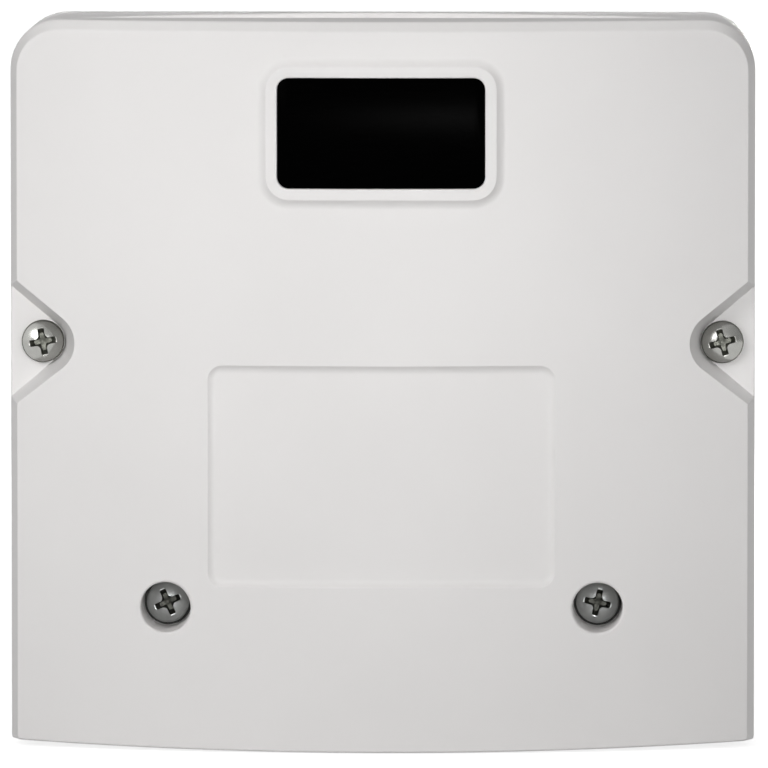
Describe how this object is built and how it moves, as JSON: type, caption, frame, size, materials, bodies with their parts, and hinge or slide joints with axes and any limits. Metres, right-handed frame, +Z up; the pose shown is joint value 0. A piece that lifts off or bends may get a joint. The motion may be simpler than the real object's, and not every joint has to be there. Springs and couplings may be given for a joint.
{
  "type": "garage door controller",
  "caption": "Wall box for a garage door drive: bulged screw-on cover with a dark display window and a bare recessed panel over a tray with the drive's boards.",
  "frame": {"origin": "middle of the flat back face that lies on the wall", "axes": "+Z up the wall, +Y into the wall, so the bulged front looks along -Y, and +X to the right as seen from the front"},
  "size_m": [0.14, 0.0489, 0.138],
  "materials": {
    "housing_abs": "fine moulded matt",
    "seal_rubber": "matt",
    "board_laminate": "green solder resist, satin",
    "bright_steel": "zinc plated",
    "dull_steel": "zinc plated, dulled",
    "terminal_polyamide": "satin",
    "core_steel": "varnished laminations",
    "bobbin_tape": "taped winding",
    "relay_case": "smooth moulded",
    "dark_plastic": "matt moulded",
    "fuse_glass": "clear",
    "blue_epoxy": "dipped",
    "capacitor_box": "smooth moulded",
    "capacitor_sleeve": "shrunk sleeve",
    "sink_aluminium": "extruded",
    "ivory_polyamide": "satin",
    "lamp_epoxy": "clear dyed",
    "switch_red": "smooth moulded",
    "trimmer_blue": "smooth moulded",
    "display_epoxy": "smooth face",
    "button_grey": "satin",
    "window_acrylic": "black tinted, polished"
  },
  "bodies": {
    "housing": {"rear_base": "housing_abs", "cover_gasket": "seal_rubber", "cable_grommets": "seal_rubber", "main_board": "board_laminate", "board_screws": "bright_steel", "power_terminal_block": "terminal_polyamide", "signal_terminal_block": "terminal_polyamide", "terminal_screws": "bright_steel", "transformer_core": "core_steel", "transformer_bobbin": "bobbin_tape", "relay_open": "relay_case", "relay_close": "relay_case", "relay_lamp": "relay_case", "fuse_holder": "dark_plastic", "mains_fuse": "fuse_glass", "varistor": "blue_epoxy", "suppression_capacitor": "capacitor_box", "rectifier": "dark_plastic", "filter_capacitor": "capacitor_sleeve", "small_capacitors": "capacitor_sleeve", "heat_sink": "sink_aluminium", "power_triac": "dark_plastic", "ic_socket": "dark_plastic", "microcontroller": "dark_plastic", "crystal": "bright_steel", "receiver_board": "board_laminate", "receiver_can": "bright_steel", "limit_connector": "ivory_polyamide", "status_lamps": "lamp_epoxy", "dip_switch_body": "switch_red", "trimmer_bodies": "trimmer_blue", "display_spacers": "ivory_polyamide", "display_header": "dark_plastic", "display_board": "board_laminate", "spacer_screws": "bright_steel", "display_module": "display_epoxy", "button_bodies": "dark_plastic"},
    "cover": {"front_cover": "housing_abs", "display_window": "window_acrylic", "sealing_washers": "seal_rubber"},
    "screw_side_left": {"side_screw_left": "bright_steel"},
    "screw_side_right": {"side_screw_right": "bright_steel"},
    "screw_lower_left": {"lower_screw_left": "dull_steel"},
    "screw_lower_right": {"lower_screw_right": "dull_steel"},
    "up_button": {"button_up": "button_grey"},
    "down_button": {"button_down": "button_grey"},
    "set_button": {"button_set": "button_grey"},
    "slider_1": {"dip_slider_1": "ivory_polyamide"},
    "slider_2": {"dip_slider_2": "ivory_polyamide"},
    "slider_3": {"dip_slider_3": "ivory_polyamide"},
    "slider_4": {"dip_slider_4": "ivory_polyamide"},
    "force_trimmer": {"trimmer_force": "ivory_polyamide"},
    "pause_trimmer": {"trimmer_pause": "ivory_polyamide"}
  },
  "joints": [
    {"name": "cover_lift", "type": "slide", "parent": "housing", "child": "cover", "axis": [0, -1, 0], "range_m": [0, 0.08]},
    {"name": "side_left_turn", "type": "hinge", "parent": "cover", "child": "screw_side_left", "pos_m": [-0.0639, -0.0316, 0.00775], "axis": [0, -1, 0], "continuous": true},
    {"name": "side_right_turn", "type": "hinge", "parent": "cover", "child": "screw_side_right", "pos_m": [0.0639, -0.0316, 0.00775], "axis": [0, -1, 0], "continuous": true},
    {"name": "lower_left_turn", "type": "hinge", "parent": "cover", "child": "screw_lower_left", "pos_m": [-0.0405, -0.03, -0.0415], "axis": [0, -1, 0], "continuous": true},
    {"name": "lower_right_turn", "type": "hinge", "parent": "cover", "child": "screw_lower_right", "pos_m": [0.0405, -0.03, -0.0415], "axis": [0, -1, 0], "continuous": true},
    {"name": "up_press", "type": "slide", "parent": "housing", "child": "up_button", "axis": [0, 1, 0], "range_m": [0, 0.00035], "stiffness_N_per_m": 4000},
    {"name": "down_press", "type": "slide", "parent": "housing", "child": "down_button", "axis": [0, 1, 0], "range_m": [0, 0.00035], "stiffness_N_per_m": 4000},
    {"name": "set_press", "type": "slide", "parent": "housing", "child": "set_button", "axis": [0, 1, 0], "range_m": [0, 0.00035], "stiffness_N_per_m": 4000},
    {"name": "slider_1_slide", "type": "slide", "parent": "housing", "child": "slider_1", "axis": [0, 0, 1], "range_m": [0, 0.002]},
    {"name": "slider_2_slide", "type": "slide", "parent": "housing", "child": "slider_2", "axis": [0, 0, 1], "range_m": [0, 0.002]},
    {"name": "slider_3_slide", "type": "slide", "parent": "housing", "child": "slider_3", "axis": [0, 0, 1], "range_m": [0, 0.002]},
    {"name": "slider_4_slide", "type": "slide", "parent": "housing", "child": "slider_4", "axis": [0, 0, 1], "range_m": [0, 0.002]},
    {"name": "force_turn", "type": "hinge", "parent": "housing", "child": "force_trimmer", "pos_m": [0.008, -0.0149, 0.0225], "axis": [0, -1, 0], "range_deg": [-135, 135]},
    {"name": "pause_turn", "type": "hinge", "parent": "housing", "child": "pause_trimmer", "pos_m": [0.0175, -0.0149, 0.0225], "axis": [0, -1, 0], "range_deg": [-135, 135]}
  ]
}
